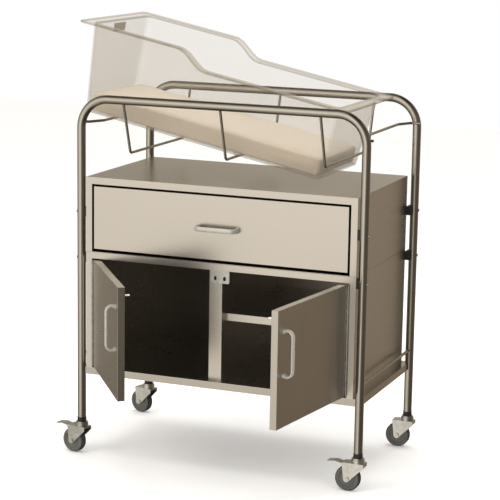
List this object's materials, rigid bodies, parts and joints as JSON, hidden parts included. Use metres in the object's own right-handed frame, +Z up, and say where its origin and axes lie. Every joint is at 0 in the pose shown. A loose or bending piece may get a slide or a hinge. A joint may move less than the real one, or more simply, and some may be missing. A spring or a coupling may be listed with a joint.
{
  "type": "hospital bassinet cart",
  "caption": "Wheeled infant bassinet: a tilted clear tub with a mattress over a stainless storage cabinet with a drawer and hinged doors.",
  "frame": {"origin": "on the floor, midway between the four caster stems", "axes": "+X towards the foot end of the tub, -Y towards the side with the drawer and doors, +Z up"},
  "size_m": [0.8712, 0.7997, 1.1454],
  "materials": {
    "frame_steel": "satin drawn tube, bright highlights along its length",
    "cabinet_steel": "fine satin stainless sheet, smooth enough to mirror what stands near it",
    "inner_steel": "duller stainless sheet on backs, inner skins and the drawer box",
    "plated_steel": "zinc-plated pressings, pins, screws and slides",
    "pull_aluminium": "satin anodised bar",
    "black_plastic": "matt black moulding",
    "white_plastic": "smooth white moulding",
    "hub_plastic": "grey moulding",
    "tyre_rubber": "grey non-marking rubber, darker on the tread",
    "clear_plastic": "clear polished plastic, faintly warm",
    "card_plastic": "grey translucent sheet, blank",
    "mattress_cover": "beige coated cloth over foam, nearly matt"
  },
  "bodies": {
    "cart": {"front_loop": "frame_steel", "rear_loop": "frame_steel", "head_cradle_wire": "frame_steel", "middle_cradle_wire": "frame_steel", "foot_cradle_wire": "frame_steel", "head_end_wire": "frame_steel", "foot_end_wire": "frame_steel", "long_base_rails": "frame_steel", "side_base_rails": "frame_steel", "guard_rods": "frame_steel", "leg_spacers": "black_plastic", "spacer_screws": "plated_steel", "drawer_case": "cabinet_steel", "drawer_case_back": "inner_steel", "cupboard_case": "cabinet_steel", "cupboard_back": "inner_steel", "centre_divider": "cabinet_steel", "half_shelf": "cabinet_steel", "catch_plate": "plated_steel", "hinge_frame_leaves": "plated_steel", "hinge_pins": "plated_steel", "slide_outer_members": "plated_steel", "stem_collars": "black_plastic", "caster_stems": "plated_steel"},
    "slide_middles": {"slide_middle_members": "plated_steel"},
    "drawer": {"slide_inner_members": "plated_steel", "drawer_front": "cabinet_steel", "drawer_box": "inner_steel", "drawer_pull": "pull_aluminium"},
    "left_door": {"left_door_shell": "cabinet_steel", "left_door_liner": "inner_steel", "left_door_pull": "pull_aluminium", "left_door_leaf": "plated_steel", "left_catch_pin": "white_plastic"},
    "right_door": {"right_door_shell": "cabinet_steel", "right_door_liner": "inner_steel", "right_door_pull": "pull_aluminium", "right_door_leaf": "plated_steel", "right_catch_pin": "white_plastic"},
    "front_left_caster": {"front_left_fork": "plated_steel", "front_left_axle": "plated_steel"},
    "front_left_wheel": {"front_left_hub": "hub_plastic", "front_left_tyre": "tyre_rubber"},
    "front_right_caster": {"front_right_fork": "plated_steel", "front_right_axle": "plated_steel"},
    "front_right_wheel": {"front_right_hub": "hub_plastic", "front_right_tyre": "tyre_rubber"},
    "rear_right_caster": {"rear_right_fork": "plated_steel", "rear_right_axle": "plated_steel"},
    "rear_right_wheel": {"rear_right_hub": "hub_plastic", "rear_right_tyre": "tyre_rubber"},
    "rear_left_caster": {"rear_left_fork": "plated_steel", "rear_left_axle": "plated_steel"},
    "rear_left_wheel": {"rear_left_hub": "hub_plastic", "rear_left_tyre": "tyre_rubber"},
    "front_left_brake": {"front_left_pedal": "plated_steel"},
    "front_right_brake": {"front_right_pedal": "plated_steel"},
    "bassinet": {"tub": "clear_plastic", "card_holder": "card_plastic"},
    "mattress": {"mattress": "mattress_cover"}
  },
  "joints": [
    {"name": "drawer_slide", "type": "slide", "parent": "cart", "child": "drawer", "axis": [0, -1, 0], "range_m": [0, 0.34]},
    {"name": "middle_slide", "type": "slide", "parent": "cart", "child": "slide_middles", "axis": [0, -1, 0], "range_m": [0, 0.17]},
    {"name": "left_door_hinge", "type": "hinge", "parent": "cart", "child": "left_door", "pos_m": [-0.3518, -0.2176, 0.386], "axis": [0, 0, -1], "range_deg": [-53.5, 56.5]},
    {"name": "right_door_hinge", "type": "hinge", "parent": "cart", "child": "right_door", "pos_m": [0.3518, -0.2176, 0.386], "axis": [0, 0, 1], "range_deg": [-82, 28]},
    {"name": "front_left_swivel", "type": "hinge", "parent": "cart", "child": "front_left_caster", "pos_m": [-0.386, -0.209, 0.084], "axis": [0, 0, 1], "continuous": true},
    {"name": "front_left_roll", "type": "hinge", "parent": "front_left_caster", "child": "front_left_wheel", "pos_m": [-0.41045, -0.2038, 0.0325], "axis": [0.2079, 0.9781, 0], "continuous": true},
    {"name": "front_right_swivel", "type": "hinge", "parent": "cart", "child": "front_right_caster", "pos_m": [0.386, -0.209, 0.084], "axis": [0, 0, 1], "continuous": true},
    {"name": "front_right_roll", "type": "hinge", "parent": "front_right_caster", "child": "front_right_wheel", "pos_m": [0.361, -0.20856, 0.0325], "axis": [0.0175, 0.9998, 0], "continuous": true},
    {"name": "rear_right_swivel", "type": "hinge", "parent": "cart", "child": "rear_right_caster", "pos_m": [0.386, 0.209, 0.084], "axis": [0, 0, 1], "continuous": true},
    {"name": "rear_right_roll", "type": "hinge", "parent": "rear_right_caster", "child": "rear_right_wheel", "pos_m": [0.361, 0.20856, 0.0325], "axis": [-0.0175, 0.9998, 0], "continuous": true},
    {"name": "rear_left_swivel", "type": "hinge", "parent": "cart", "child": "rear_left_caster", "pos_m": [-0.386, 0.209, 0.084], "axis": [0, 0, 1], "continuous": true},
    {"name": "rear_left_roll", "type": "hinge", "parent": "rear_left_caster", "child": "rear_left_wheel", "pos_m": [-0.41015, 0.21547, 0.0325], "axis": [0.2588, 0.9659, 0], "continuous": true},
    {"name": "front_left_pedal_pivot", "type": "hinge", "parent": "front_left_caster", "child": "front_left_brake", "pos_m": [-0.39872, -0.2063, 0.0665], "axis": [-0.2079, -0.9781, 0], "range_deg": [0, 5], "stiffness_Nm_per_rad": 1, "springref_deg": -5.73},
    {"name": "front_right_pedal_pivot", "type": "hinge", "parent": "front_right_caster", "child": "front_right_brake", "pos_m": [0.373, -0.20877, 0.0665], "axis": [-0.0175, -0.9998, 0], "range_deg": [0, 5], "stiffness_Nm_per_rad": 1, "springref_deg": -5.73},
    {"name": "tub_lift", "type": "slide", "parent": "cart", "child": "bassinet", "axis": [0, 0, 1], "range_m": [0, 0.25]},
    {"name": "mattress_lift", "type": "slide", "parent": "bassinet", "child": "mattress", "axis": [0.2028, 0, 0.9792], "range_m": [0, 0.3]}
  ],
  "couplings": [
    {"joint": "middle_slide", "follows": "drawer_slide", "ratio": 0.5}
  ]
}
